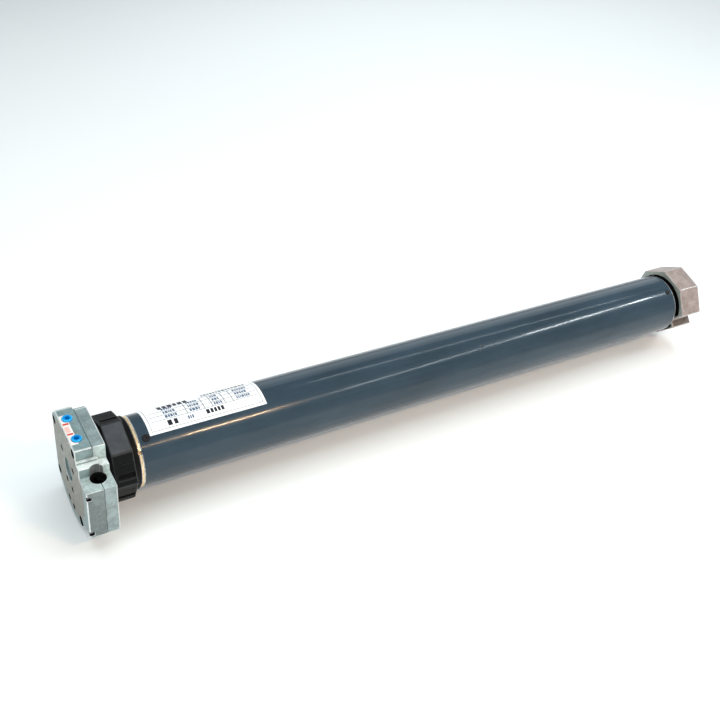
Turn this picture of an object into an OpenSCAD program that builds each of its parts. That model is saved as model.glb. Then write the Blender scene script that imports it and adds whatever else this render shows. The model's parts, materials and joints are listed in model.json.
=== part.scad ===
// Roller shutter motor: a tubular drive with a cast head, a hand-crank worm drive,
// a limit crown, a brake, an induction motor and a three-stage planetary gearbox.
// X runs along the drive axis from the head to the drive wheel. The origin is the
// centre of the head's mounting face. Z points to the side with the limit screws.

/* [Tube] */
// Outer radius of the motor tube
tube_r = 29.5; // [25:0.5:35]
// Wall thickness of the motor tube
tube_wall = 1.5; // [1:0.1:2]
// Where the tube starts, measured from the mounting face
tube_x = 52; // [51:0.5:54]
// Length of the motor tube
tube_len = 578; // [570:1:620]

/* [Head] */
// Radius of the head's front half
cover_r = 47.2; // [45:0.1:50]
// Radius of the head's rear half
base_r = 45; // [44:0.1:46]
// Depth of the head, from the mounting face to its back
head_depth = 24; // [23:0.1:25]
// Distance of the joint between the two halves from the mounting face
part_x = 13.5; // [13:0.1:14]
// Height of the flat side with the limit screws above the axis
screw_flat = 39.5; // [38.5:0.1:41]
// Distance of the flat opposite the crank block from the axis
plain_flat = 36.7; // [36:0.1:40]

/* [Crank drive] */
// Distance of the crank axis from the drive axis
crank_y = 36.4; // [36.2:0.1:36.6]
// Distance of the crank axis from the mounting face
crank_x = 13.4; // [13.2:0.1:13.6]
// Height of the crank face above the drive axis
crank_face = 18.5; // [18:0.1:20]
// Radius of the hole that the crank goes into
crank_hole_r = 6.1; // [5.5:0.1:6.5]
// Teeth on the worm wheel
wheel_teeth = 40; // [40:1:40]

/* [Crown and drive wheel] */
// Distance across the crown's corners
crown_corners = 72.6; // [71:0.1:74]
// Distance across the drive wheel's corners
wheel_corners = 73; // [71:0.1:74]
// Width of the drive wheel
wheel_w = 26; // [22:0.5:30]

/* [Gearbox] */
// Module of the planetary gears
gear_m = 1; // [0.9:0.02:1]
// Teeth on each sun gear
sun_teeth = 12; // [12:1:12]
// Teeth on each planet gear
planet_teeth = 18; // [18:1:18]

/* [Hidden] */
$fn = 96;
fit = 0.05;       // radial clearance of a running fit
tube_in = tube_r - tube_wall;
tube_end = tube_x + tube_len;
ring_teeth = sun_teeth + 2 * planet_teeth;
orbit = gear_m * (sun_teeth + planet_teeth) / 2;
stage_count = 3;
pin_r = 2.5;

// Head: crank block, notch and ledge, as distances from the drive axis
block_side = 49.5;
block_foot = -30;
notch_wall = 24.5;
ledge_steps = [[27.1, 30], [32.5, 27.2]];
base_ledge = [[32.5, 26]];
ledge_end = 16.5;
crank_relief_r = 6.4;

// Head: chambers
chamber = [8.7, 18];       // worm wheel chamber, from and to
chamber_r = 29.8;
neck_r = 24;
neck_in = 21 + fit;
neck_end = 49;
boss_r = 12;
boss_end = 15;
gear_pocket = [20, head_depth];
cable_x = 11;
cable_z = -4;
cable_r = 3.5;
grommet_len = 6;
limit_pocket = [2.5, 19];
limit_pocket_z = [30.6, 36.8];
limit_pocket_y = [-17, 20];

// Worm drive
worm_m = 1.4;
worm_wheel_r = worm_m * wheel_teeth / 2;
worm_r = crank_y - worm_wheel_r;
worm_len = 20;
journal_r = 5;
hex_af = 7;
wheel_face = [9, 17.6];

// Limit unit
crown_teeth = 72;
pinion_teeth = 11;
limit_m = 0.8;
pinion_z = limit_m * (crown_teeth + pinion_teeth) / 2;
limit_screw_x = 6.2;
limit_screw_y = [13.5, -11.2];
limit_screw_r = 4;
limit_head_z = 36;
switch_y = [12, -10];

// Holes in the mounting face: y, z
upper_bolts = [[-14.5, 11], [14.5, 11]];
lower_bolts = [[-7, -16], [7, -16]];
edge_bolts = [[-6, -36], [6, -36]];
edge_dimples = [[-6, 36], [6, 36]];
bolt_r = 2.5;
cover_screw_at = [[31, 27], [31, -27], [-26, -34], [-20, 34]];

// Crown and tube adapter
crown_x = 27;
crown_len = 17.5;
crown_collar_end = 48.8;
crown_slots = [[-7.6, 4.6], [5, 0.8]];  // on each ribbed flat: offset and width
ribbed_flats = [0, 2, 3, 4, 6, 7];       // the other two of the eight are plain
adapter_r = 21;
adapter_in = 17.5;
adapter_end = 72;
tube_screw_x = 58.4;
far_screw_x = 623;
tube_hole_x = 382;
tube_hole_turn = 34.6;
label_x = 62;
label_len = 101;
label_arc = 92;
label_turn = -241;  // its lower edge stands 31 degrees round from the top, on the crank side
screw_angles = [32, 152, 272];

// Inside the tube, from and to along X
capacitor = [110, 190];
coil = [262, 284.6];
armature = [285.2, 288.9];
brake_plate = [289, 294];
rear_bell = [297, 307];
core = [322, 452];
winding_len = 13;
front_bell = [468, 480];
ring_span = [484, 576];
stage_x = [488, 510, 537];
stage_w = [14, 18, 26];
plate_w = [5, 6, 9];
flange_x = 577;
shaft_r = 8;
drive_wheel_x = 633.3;
hub_end = drive_wheel_x + wheel_w - 3.5;
washer_w = 1.5;
washer_r = 11.1;

// ---- Helpers -------------------------------------------------------------

// A flat outline in Y and Z, extruded along X
module along_x(x, len) {
    translate([x, 0, 0]) rotate([90, 0, 90]) linear_extrude(len) children();
}

module rod(x, len, r, y = 0, z = 0) {
    translate([x, y, z]) rotate([0, 90, 0]) cylinder(h = len, r = r);
}

module tube(x, len, r_out, r_in) {
    difference() {
        rod(x, len, r_out);
        rod(x - 1, len + 2, r_in);
    }
}

// Children stand at the radius r and the angle a around the drive axis
module around(a, r = 0) {
    rotate([a, 0, 0]) translate([0, 0, r]) children();
}

// Involute tooth outline. slack is taken off each flank.
function involute(base, r) =
    r <= base ? 0 : sqrt(r * r / (base * base) - 1) * 180 / PI - acos(base / r);

function half_tooth(teeth, m, r, slack) =
    let (pitch = teeth * m / 2, base = pitch * cos(20))
    90 / teeth + involute(base, pitch) - involute(base, r) - slack / pitch * 180 / PI;

function tooth_radii(teeth, m, low, high) =
    let (pitch = teeth * m / 2)
    [for (k = [0 : 2]) pitch - low * m + k / 2 * (low + high) * m];

function gear_outline(teeth, m, low = 1.15, high = 0.8, slack = 0.1) = [
    for (t = [0 : teeth - 1]) let (middle = t * 360 / teeth, radii = tooth_radii(teeth, m, low, high))
        for (k = [0 : 5])
            let (r = k < 3 ? radii[k] : radii[5 - k],
                 half = half_tooth(teeth, m, r, slack),
                 a = middle + (k < 3 ? -half : half))
            [r * cos(a), r * sin(a)]
];

module gear(teeth, m, slack = 0.1) {
    polygon(gear_outline(teeth, m, slack = slack));
}

// ---- Head ----------------------------------------------------------------

module head_disc(r) {
    intersection() {
        circle(r);
        translate([-r, -r]) square([r + plain_flat, r + screw_flat]);
    }
}

module head_outline(r) {
    difference() {
        union() {
            head_disc(r);
            translate([-block_side, block_foot])
                square([block_side, crank_face - block_foot]);
        }
        translate([-block_side - 1, crank_face])
            square([block_side + 1 - notch_wall, r]);
    }
}

module crank_axis(z, len, r) {
    translate([crank_x, -crank_y, z]) cylinder(h = len, r = r);
}

module cable_axis(y, len, r) {
    translate([cable_x, y, cable_z]) rotate([-90, 0, 0]) cylinder(h = len, r = r);
}

module screw_hole_pattern(points, x, len, r) {
    for (at = points) rod(x, len, r, at[0], at[1]);
}

// Everything that both halves of the head leave room for
module head_chambers() {
    rod(chamber[0], chamber[1] - chamber[0], chamber_r);
    crank_axis(-worm_len / 2 - 1, worm_len + 2, worm_r + worm_m - 0.2);
    crank_axis(-16, 30, journal_r + fit);
    crank_axis(13, 10, crank_hole_r + 2);
    translate([limit_pocket[0], limit_pocket_y[0], limit_pocket_z[0]])
        cube([limit_pocket[1] - limit_pocket[0], limit_pocket_y[1] - limit_pocket_y[0],
              limit_pocket_z[1] - limit_pocket_z[0]]);
    rod(18, 6, 1.6, 0, pinion_z);
    screw_hole_pattern(cover_screw_at, -1, 4.5, 3.8);
    screw_hole_pattern(cover_screw_at, 0, 21, 2.05);
    for (y = limit_screw_y)
        translate([limit_screw_x, y, limit_pocket_z[1] - 1]) cylinder(h = 5, r = limit_screw_r + 0.1);
    cable_axis(plain_flat - grommet_len - 0.1, grommet_len + 1, 6);
    cable_axis(24, 10, cable_r + 1.5);
}

// Shelf beside the notch wall. Each step is its outer side and its top.
module ledge(x, len, steps) {
    for (step = steps)
        translate([x, -step[0], crank_face])
            cube([len, step[0] - notch_wall, step[1] - crank_face]);
}

module head_cover() {
    color("lightslategray") difference() {
        union() {
            difference() {
                along_x(0, part_x) head_outline(cover_r);
                head_chambers();
            }
            ledge(0, ledge_end, ledge_steps);
            rod(chamber[0] - 1, boss_end - chamber[0] + 1, boss_r);
        }
        rod(2.5, boss_end, 6);
        rod(-1, 3.5, 10);
        crank_axis(crank_face, 20, crank_relief_r);
        screw_hole_pattern(concat(upper_bolts, lower_bolts, edge_bolts), -1, 7, bolt_r);
        screw_hole_pattern(edge_dimples, -1, 2.8, 2);
        for (z = [14.2, -23.6])
            translate([-1, -block_side - 1, z - 4]) cube([5, 4, 4]);
    }
}

module head_base() {
    color("lightslategray") difference() {
        union() {
            difference() {
                along_x(part_x, head_depth - part_x) head_outline(base_r);
                head_chambers();
            }
            ledge(ledge_end, head_depth - ledge_end, base_ledge);
            rod(head_depth - 1, neck_end - head_depth + 1, neck_r);
        }
        difference() {
            rod(gear_pocket[0], 10, chamber_r + 0.4);
            rod(gear_pocket[0] - 1, 12, neck_r);
        }
        rod(gear_pocket[0], 10, 5.4, 0, pinion_z);
        rod(chamber[1] - 1, 60, neck_in);
        crank_axis(crank_face, 20, crank_relief_r);
    }
}

module cover_screws() {
    color("gray") for (at = cover_screw_at) difference() {
        union() {
            rod(1, 2.4, 3.4, at[0], at[1]);
            rod(3.4, 16, 2, at[0], at[1]);
        }
        translate([0, at[0], at[1]]) rotate([0, 90, 0]) cylinder(h = 2.4, r = 1.8, $fn = 6);
    }
}

module crank_bush() {
    color("silver") difference() {
        crank_axis(13.2, crank_face - 13.2, crank_hole_r + 2);
        crank_axis(12, 10, crank_hole_r);
    }
}

module limit_sticker() {
    color("white") difference() {
        translate([0.6, -17, screw_flat]) cube([5.6, 35, 0.15]);
        for (y = limit_screw_y)
            translate([limit_screw_x, y, 30]) cylinder(h = 12, r = limit_screw_r + 0.4);
    }
}

module limit_unit_case() {
    color("dimgray") difference() {
        translate([3, limit_pocket_y[0] + 0.5, 30.8])
            cube([15, limit_pocket_y[1] - limit_pocket_y[0] - 1, 5.8]);
        for (y = limit_screw_y)
            translate([limit_screw_x, y, 30]) cylinder(h = 8, r = limit_screw_r + 0.3);
        rod(2, 20, 2, 0, pinion_z);
        for (y = switch_y) translate([10.7, y - 4.6, 32]) cube([6.5, 9.2, 5]);
    }
}

module limit_switch(y) {
    color("black") translate([10.8, y - 4.5, 32.1]) cube([6.3, 9, 3.9]);
    color("goldenrod") translate([13, y - 2, 36]) cube([2.4, 4, 0.5]);
}

module head_bearing() {
    color("silver") difference() {
        tube(10, 4.6, adapter_in - fit, boss_r + 0.02);
        tube(9.5, 0.9, 16.2, 13.3);
        tube(14.2, 0.9, 16.2, 13.3);
    }
}

module brush_block() {
    color("saddlebrown") difference() {
        union() {
            tube(boss_end, 26, 14.5, 11);
            for (k = [0 : 3]) tube(18 + 5.5 * k, 2, 12, 9.4);
        }
        translate([boss_end + 3, -20, -20]) cube([40, 40, 20]);
    }
}

module cable_grommet() {
    color("black") difference() {
        cable_axis(plain_flat - grommet_len, grommet_len, 5.98);
        cable_axis(20, 30, cable_r);
    }
}

module limit_screw(y) {
    color("dodgerblue") difference() {
        union() {
            translate([limit_screw_x, y, 31.2]) cylinder(h = 6, r = 2.2);
            translate([limit_screw_x, y, limit_head_z])
                cylinder(h = screw_flat + 1.2 - limit_head_z, r = limit_screw_r);
        }
        translate([limit_screw_x, y, screw_flat - 2.5]) cylinder(h = 5, r = 2.3, $fn = 6);
    }
}

// ---- Crank drive ---------------------------------------------------------

// A single-start thread: an eccentric disc, swept up as it turns. Its crest faces
// the worm wheel at the height of the drive axis.
module worm_thread() {
    turns = worm_len / (worm_m * PI);
    rotate(90 - 180 * turns)
        linear_extrude(worm_len, twist = -360 * turns, slices = round(16 * turns), center = true, $fn = 20)
            translate([worm_m / 2, 0]) circle(worm_r - 0.55);
}

module crank_worm() {
    color("darkgray") difference() {
        translate([crank_x, -crank_y, 0]) union() {
            worm_thread();
            translate([0, 0, -15.5]) cylinder(h = 28.3, r = journal_r);
        }
        translate([crank_x, -crank_y, 2]) cylinder(h = 20, r = hex_af / 2 / cos(30), $fn = 6);
    }
}

module worm_wheel() {
    color("burlywood") difference() {
        along_x(wheel_face[0], wheel_face[1] - wheel_face[0])
            rotate(180 / wheel_teeth) gear(wheel_teeth, worm_m, slack = 0.55);
        rod(0, 30, adapter_r);
    }
}

// ---- Crown and limit pinion ---------------------------------------------

module octagon_prism(x, len, corners) {
    translate([x, 0, 0]) rotate([0, 90, 0]) cylinder(h = len, d = corners, $fn = 8);
}

module crown() {
    color("#2a2a2d") difference() {
        union() {
            octagon_prism(crown_x, crown_len, crown_corners);
            rod(24.4, crown_x - 24.4 + 1, 31);
            rod(crown_x + crown_len - 1, crown_collar_end - crown_x - crown_len + 1, 30.5);
            along_x(20.6, 5) gear(crown_teeth, limit_m);
        }
        rod(0, 60, neck_r + fit);
        for (k = ribbed_flats) rotate([45 * k - 22.5, 0, 0])
            for (slot = crown_slots)
                translate([crown_x + 2.5, slot[0], 31.4]) cube([crown_len - 3.5, slot[1], 5]);
    }
}

module limit_pinion() {
    color("khaki") {
        translate([0, 0, pinion_z]) along_x(20.6, 2.8)
            rotate(180 / pinion_teeth - 90) gear(pinion_teeth, limit_m);
        rod(4, 16.6, 1.55, 0, pinion_z);
    }
}

// ---- Tube and what is fixed in it ---------------------------------------

module tube_adapter() {
    color("gainsboro") difference() {
        union() {
            rod(wheel_face[0], adapter_end - wheel_face[0], adapter_r);
            rod(neck_end + 0.3, tube_x - neck_end - 0.3, 24);
            rod(tube_x, adapter_end - tube_x, tube_in);
        }
        rod(0, 44, adapter_in);
        rod(0, 100, 8);
        for (a = screw_angles) around(a) translate([tube_screw_x, 0, 0]) cylinder(h = 60, r = 2.2);
    }
}

module retaining_ring() {
    color("goldenrod") tube(neck_end + 0.2, tube_x - neck_end - 0.2, tube_r, 24.02);
}

module motor_tube() {
    color("#3e4e5c") difference() {
        tube(tube_x, tube_len, tube_r, tube_in);
        for (a = screw_angles) around(a) {
            translate([tube_screw_x, 0, 0]) cylinder(h = 40, r = 2.25);
            translate([far_screw_x, 0, 0]) cylinder(h = 40, r = 2.25);
        }
        around(tube_hole_turn) translate([tube_hole_x, 0, 0]) cylinder(h = 40, r = 1.1);
    }
}

// Three screws around the tube at x, with low round heads
module tube_screws(x, screw_head_r) {
    color("#222222") for (a = screw_angles) around(a) translate([x, 0, 0]) difference() {
        union() {
            translate([0, 0, tube_in - 4]) cylinder(h = tube_wall + 4.1, r = 2.15);
            translate([0, 0, tube_r]) cylinder(h = 0.8, r = screw_head_r);
        }
        translate([0, 0, tube_r]) cylinder(h = 3, r = 1.4, $fn = 6);
    }
}

module rating_label() {
    color("white") rotate([label_turn, 0, 0]) rotate([0, 90, 0])
        rotate_extrude(angle = label_arc) translate([tube_r, label_x]) square([0.12, label_len]);
}

module slip_ring() {
    color("goldenrod") difference() {
        union() {
            rod(17, 27, 7.5);
            for (k = [0 : 3]) rod(18 + 5.5 * k, 2, 9);
            rod(42, 2, adapter_in);
        }
        rod(0, 60, 4);
    }
}

module capacitor() {
    color("whitesmoke") {
        rod(capacitor[0], capacitor[1] - capacitor[0], 17.5);
        for (y = [-6, 6]) rod(capacitor[0] - 8, 8, 1.2, y, 0);
    }
}

module capacitor_cradle() {
    color("dimgray") for (x = [capacitor[0] + 8, capacitor[1] - 18])
        tube(x, 10, tube_in, 17.5);
}

module brake_coil() {
    color("firebrick") difference() {
        rod(coil[0], coil[1] - coil[0], tube_in);
        rod(0, 900, 7);
        tube(coil[0] + 6, 30, 13, 9);
    }
}

// Four disc springs, stacked as rings
module brake_spring() {
    thick = (armature[0] - coil[0] - 7) / 4;
    color("silver") for (k = [0 : 3])
        tube(coil[0] + 7 + k * thick, thick, 12.6 - 0.4 * (k % 2), 9.4 + 0.4 * (k % 2));
}

module brake_armature() {
    color("darkslategray") tube(armature[0], armature[1] - armature[0], 24, 7);
}

module brake_disc() {
    color("sienna") tube(brake_plate[0], brake_plate[1] - brake_plate[0], 22, 4);
}

module end_bell(span) {
    color("lightgray") difference() {
        rod(span[0], span[1] - span[0], tube_in);
        rod(span[0] - 1, 40, 5.5);
        rod(span[0] + 2, 7, 11);
        tube(span[0] + 4, 40, 25, 13);
    }
}

module motor_bearings() {
    color("silver") for (span = [rear_bell, front_bell])
        tube(span[0] + 2, 7, 11, 4 + fit);
}

module stator_core() {
    color("slategray") difference() {
        rod(core[0], core[1] - core[0], tube_in);
        rod(0, 900, 16);
        for (a = [0 : 30 : 359]) around(a)
            translate([core[0] - 1, -1.6, 15]) cube([core[1] - core[0] + 2, 3.2, 8]);
    }
}

module stator_winding() {
    color("chocolate") {
        tube(core[0] - winding_len, winding_len, 25, 17);
        tube(core[1], winding_len, 25, 17);
        for (a = [0 : 30 : 359]) around(a)
            translate([core[0] - 0.5, -1.4, 17.2]) cube([core[1] - core[0] + 1, 2.8, 5.4]);
    }
}

module rotor_core() {
    color("lightsteelblue") difference() {
        rod(core[0], core[1] - core[0], 15.6);
        rod(0, 900, 4);
    }
}

module rotor_shaft() {
    color("silver") {
        rod(brake_plate[0], stage_x[0] - 5 - brake_plate[0], 4);
        rod(stage_x[0] - 5.5, stage_w[0] + 5, 2.5);
    }
}

module end_flange() {
    color("darkgray") difference() {
        rod(flange_x, tube_end - 1.5 - flange_x, tube_in);
        rod(0, 900, shaft_r + 1.5);
        rod(flange_x + 20, 60, 14);
        for (a = screw_angles) around(a) translate([far_screw_x, 0, 0]) cylinder(h = 60, r = 2.2);
    }
}

module output_bearing() {
    color("silver") tube(flange_x + 20, 24, 14, shaft_r + fit);
}

// ---- Planetary gearbox ---------------------------------------------------

module ring_gear() {
    color("dimgray") difference() {
        rod(ring_span[0], ring_span[1] - ring_span[0], tube_in);
        along_x(ring_span[0] - 1, ring_span[1] - ring_span[0] + 2)
            rotate(180 / ring_teeth) polygon(gear_outline(ring_teeth, gear_m, 0.8, 1.15, -0.1));
    }
}

module sun_gear(stage) {
    color("peru") difference() {
        along_x(stage_x[stage], stage_w[stage]) gear(sun_teeth, gear_m);
        rod(0, 900, pin_r + 0.02);
    }
}

module planet_gear(stage, place) {
    color("khaki") rotate([120 * place, 0, 0]) translate([0, orbit, 0]) difference() {
        along_x(stage_x[stage] + 1, stage_w[stage] - 2)
            rotate(180 / planet_teeth) gear(planet_teeth, gear_m);
        rod(0, 900, pin_r + fit);
    }
}

// Plate behind the planets, with three pins and a stub for the next sun gear
module carrier(stage, stub) {
    plate_x = stage_x[stage] + stage_w[stage] + 1;
    rod(plate_x, plate_w[stage], orbit + 6);
    for (a = [0, 120, 240]) rotate([a, 0, 0])
        rod(stage_x[stage] + 0.5, stage_w[stage] + 1, pin_r, orbit, 0);
    rod(plate_x + plate_w[stage] - 0.5, stub + 0.5, pin_r);
}

module output_carrier() {
    last = stage_count - 1;
    plate_end = stage_x[last] + stage_w[last] + 1 + plate_w[last];
    color("silver") difference() {
        union() {
            carrier(last, 1);
            rod(plate_end - 0.5, hub_end - plate_end + 0.5, shaft_r);
        }
        rod(hub_end - 18.5, 30, 2.5);
    }
}

// ---- Drive wheel ---------------------------------------------------------

// A hollow octagon with a hub and a web. One corner is cut away, down to a rib.
module drive_wheel() {
    hub_r = 14;
    color("#a09a92") difference() {
        union() {
            difference() {
                rotate([-7.5, 0, 0]) octagon_prism(drive_wheel_x, wheel_w, wheel_corners);
                tube(drive_wheel_x - 1, 10, 30, hub_r);
                tube(drive_wheel_x + 13, 20, 29.5, hub_r);
            }
            // Walls that close the rim where its corner is cut back
            rotate([-45, 0, 0]) translate([drive_wheel_x, -29, -32]) cube([wheel_w, 20.5, 12]);
        }
        rotate([-45, 0, 0]) {
            translate([drive_wheel_x - 1, -50, -60]) cube([wheel_w + 2, 39, 37.5]);
            translate([drive_wheel_x - 1, -50, -60]) cube([wheel_w + 2, 100, 29]);
        }
        rod(hub_end, wheel_w, washer_r);
        rod(0, 900, shaft_r);
    }
}

module wheel_washer() {
    color("silver") tube(hub_end, washer_w, washer_r - 0.1, 2.6);
}

module wheel_screw() {
    x = hub_end + washer_w;
    color("dimgray") difference() {
        union() {
            rod(x, 2, 5);
            rod(x - 18, 18.5, 2.45);
        }
        translate([x + 0.8, 0, 0]) rotate([0, 90, 0]) cylinder(h = 3, r = 2.4, $fn = 6);
    }
}

// ---- Nodes ---------------------------------------------------------------

head_cover();
head_base();
cover_screws();
crank_bush();
limit_sticker();
limit_unit_case();
limit_switch(switch_y[0]);  // limit_switch_up
limit_switch(switch_y[1]);  // limit_switch_down
head_bearing();
brush_block();
cable_grommet();
limit_screw(limit_screw_y[0]);  // limit_screw_up
limit_screw(limit_screw_y[1]);  // limit_screw_down
crank_worm();
limit_pinion();
crown();
worm_wheel();
tube_adapter();
retaining_ring();
motor_tube();
tube_screws(tube_screw_x, 3.2);  // tube_screws_head
tube_screws(far_screw_x, 2.65);  // tube_screws_far
rating_label();
slip_ring();
capacitor();
capacitor_cradle();
brake_coil();
brake_spring();
brake_armature();
brake_disc();
end_bell(rear_bell);  // rear_end_bell
end_bell(front_bell);  // front_end_bell
motor_bearings();
stator_core();
stator_winding();
rotor_core();
rotor_shaft();
ring_gear();
sun_gear(0);  // sun_gear_1
sun_gear(1);  // sun_gear_2
sun_gear(2);  // sun_gear_3
planet_gear(0, 0);  // planet_1a
planet_gear(0, 1);  // planet_1b
planet_gear(0, 2);  // planet_1c
planet_gear(1, 0);  // planet_2a
planet_gear(1, 1);  // planet_2b
planet_gear(1, 2);  // planet_2c
planet_gear(2, 0);  // planet_3a
planet_gear(2, 1);  // planet_3b
planet_gear(2, 2);  // planet_3c
color("gray") carrier(0, stage_w[1] + 1);  // carrier_1
color("gray") carrier(1, stage_w[2] + 1);  // carrier_2
output_carrier();
end_flange();
output_bearing();
drive_wheel();
wheel_washer();
wheel_screw();
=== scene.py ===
"""Roller shutter motor: the visible pieces, their materials, the light and the camera.

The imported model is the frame. Helpers take millimetres and write metres. X runs along the
drive axis, Z points to the side with the limit screws and -Y to the crank block.
"""

import json
import math
import random

import bmesh
import bpy
from mathutils import Matrix, Vector


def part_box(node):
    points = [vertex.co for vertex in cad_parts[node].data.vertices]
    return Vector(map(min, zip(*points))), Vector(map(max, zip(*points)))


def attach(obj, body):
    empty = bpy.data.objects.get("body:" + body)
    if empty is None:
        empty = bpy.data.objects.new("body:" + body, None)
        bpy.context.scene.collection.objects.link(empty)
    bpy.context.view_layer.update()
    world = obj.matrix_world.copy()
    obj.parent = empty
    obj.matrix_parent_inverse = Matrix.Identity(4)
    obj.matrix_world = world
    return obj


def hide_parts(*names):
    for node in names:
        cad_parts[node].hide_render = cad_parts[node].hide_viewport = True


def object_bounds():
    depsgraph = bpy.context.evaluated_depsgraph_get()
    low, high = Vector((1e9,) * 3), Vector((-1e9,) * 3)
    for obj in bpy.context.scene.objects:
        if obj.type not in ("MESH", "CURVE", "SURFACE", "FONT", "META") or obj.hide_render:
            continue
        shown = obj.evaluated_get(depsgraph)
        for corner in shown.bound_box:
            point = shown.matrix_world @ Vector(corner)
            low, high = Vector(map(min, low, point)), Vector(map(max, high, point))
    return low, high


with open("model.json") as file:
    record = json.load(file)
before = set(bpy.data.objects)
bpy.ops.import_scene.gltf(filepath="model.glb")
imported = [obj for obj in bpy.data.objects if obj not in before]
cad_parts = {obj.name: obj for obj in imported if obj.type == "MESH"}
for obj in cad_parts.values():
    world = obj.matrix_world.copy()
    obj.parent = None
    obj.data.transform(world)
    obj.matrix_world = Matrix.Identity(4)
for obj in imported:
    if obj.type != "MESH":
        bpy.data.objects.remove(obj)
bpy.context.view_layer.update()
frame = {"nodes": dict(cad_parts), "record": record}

MM = 0.001
MOUNTS = {m["name"]: m for m in frame["record"]["mounts"]}


def node_box(node):
    """Lowest and highest corner of a CAD node, in millimetres."""
    low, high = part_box(node)
    return [v / MM for v in low], [v / MM for v in high]


def middle(node):
    low, high = node_box(node)
    return [(a + b) / 2 for a, b in zip(low, high)]


# ---- Sizes from the frame ----

TUBE_LOW, TUBE_HIGH = node_box("motor_tube")
TUBE_R = TUBE_HIGH[2]
TUBE_X = TUBE_LOW[0]
TUBE_END = TUBE_HIGH[0]
PART_X = node_box("head_base")[0][0]
NECK_END = node_box("head_base")[1][0]
HEAD_LOW, HEAD_HIGH = node_box("head_cover")
BLOCK_SIDE = HEAD_LOW[1]
PLAIN_FLAT = HEAD_HIGH[1]
SCREW_FLAT = HEAD_HIGH[2]
COVER_R = -HEAD_LOW[2]
BASE_R = -node_box("head_base")[0][2]
LEDGE_END = HEAD_HIGH[0]
RECESS_R = MOUNTS["centre_recess"]["dims"]["r_mm"]
RECESS_DEPTH = MOUNTS["centre_recess"]["dims"]["length_mm"]
CRANK = [v / MM for v in MOUNTS["crank_entry"]["pos_m"]]
CRANK_R = MOUNTS["crank_entry"]["dims"]["r_mm"]
CABLE = [v / MM for v in MOUNTS["cable_entry"]["pos_m"]]
CROWN_END = node_box("crown")[1][0]
WHEEL_LOW, WHEEL_HIGH = node_box("drive_wheel")
LABEL_LOW, LABEL_HIGH = node_box("rating_label")

# ---- Sizes of the head, in millimetres ----

HEAD_DEPTH = 24
BLOCK_FOOT = -30
NOTCH_WALL = -24.5
LEDGE_TOP = 30
LEDGE_STEPS = [(-27.1, LEDGE_TOP), (-32.5, 27.2)]   # each step's side and top
BASE_LEDGE_TOP = 26
SHELF_FOOT = CRANK[2] - 2
RELIEF_R = 6.4
ABOVE_HEAD = 45
JOINT = 0.55                    # the gap that shows between the two halves
NECK_R = 24
NECK_IN = 21.05
CHAMBER = (8.7, 18, 29.8)       # the worm wheel's: its two ends in X and its radius
WORM_SPACE = (-11, 11, 9.6)     # two ends in Z and a radius, as are the next one's
JOURNAL_SPACE = (-16, 14, 5.05)
BOSS_R = 12
BOSS_BORE = 6
LIMIT_SCREWS = ("limit_screw_up", "limit_screw_down")
LIMIT_SCREW_R = 4
LIMIT_HOLE_R = 4.15
COVER_SCREWS = [(31, 27), (31, -27), (-26, -34), (-20, 34)]
POCKET_R = 3.8
WIDE_POCKET_R = 4.8
SQUARE_POCKETS = (10.2, -27.6)  # the lower edge of each
SQUARE_SIDE = 4

# ---- Sizes of the crown, tube, wheel and label ----

CROWN_CORNERS = 72.6
CROWN_X = 27
CROWN_LEN = 17.5
CROWN_SLOTS = [(-7.6, 4.6), (5.0, 0.8)]     # each slot's side and width
PLAIN_FLATS = (1, 5)
TUBE_WALL = 1.5
BARE_END = 1.8
SCREW_ANGLES = (32, 152, 272)
SCREW_HOLE_R = 2.25
TUBE_HOLE = (382, 34.6)         # its X and its angle from +Z towards -Y
TUBE_HOLE_R = 1.1
WHEEL_CORNERS = 73
WHEEL_TURN = -7.5
CUT_CORNER = (-11, 14.6, -31)   # the rib left in the cut corner: two sides and its foot
NEAR_POCKET = (9, 30)           # its depth and radius
FAR_POCKET = (13, 29)           # its floor, behind the near face, and its radius
HUB_R = 14
WASHER_R = 11.1
SHAFT_R = 8
LABEL_FROM = 31                 # its lower edge, in degrees from +Z towards -Y
LABEL_ARC = 92

# ---- Material slots ----

# Slots on the castings: base, edge (wear and painted highlight), hollow (painted shade, and the dark
# joint), two lighter copies (painted light) and two darker copies (painted shade).
BASE, EDGE, HOLLOW, PAINTED_LIGHT, PAINTED_HIGHLIGHT, SHADE, SIDE_SHADE = range(7)    # on the castings
CROWN_SHEEN = 3
WHEEL_RIM_REFLECTION, WHEEL_POCKET_SHADE, WHEEL_CORNER_SHADE = 2, 3, 4


# ---- Camera ----

def make_camera():
    """The camera stands at the head's end, above and in front of the crank side."""
    data = bpy.data.cameras.new("camera")
    data.sensor_width = 36
    data.lens = 48.292
    camera = add_object("camera", data)
    place = Vector((-0.11814, -0.56071, 0.55073))
    target = Vector((0.27096, 0.01575, 0.01701))
    level = (target - place).to_track_quat("-Z", "Y").to_matrix().to_4x4()
    roll = Matrix.Rotation(math.radians(7.257), 4, "Z")
    camera.matrix_world = Matrix.Translation(place) @ level @ roll
    bpy.context.scene.camera = camera


# ---- Solids ----

def add_object(name, data):
    made = bpy.data.objects.new(name, data)
    bpy.context.collection.objects.link(made)
    return made


def solid(name, verts, faces):
    """A mesh object from points in millimetres, with its faces turned outwards."""
    shape = bmesh.new()
    made = [shape.verts.new(Vector(v) * MM) for v in verts]
    for face in faces:
        shape.faces.new([made[i] for i in face])
    bmesh.ops.recalc_face_normals(shape, faces=shape.faces)
    mesh = bpy.data.meshes.new(name)
    shape.to_mesh(mesh)
    shape.free()
    return add_object(name, mesh)


def loft(name, rings):
    """A closed solid through rings with the same number of points."""
    count = len(rings[0])
    verts = [point for ring in rings for point in ring]
    faces = [list(range(count))]
    faces.append([(len(rings) - 1) * count + i for i in range(count)])
    for row in range(len(rings) - 1):
        for i in range(count):
            j = (i + 1) % count
            a, b = row * count, (row + 1) * count
            faces.append([a + i, a + j, b + j, b + i])
    return solid(name, verts, faces)


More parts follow.
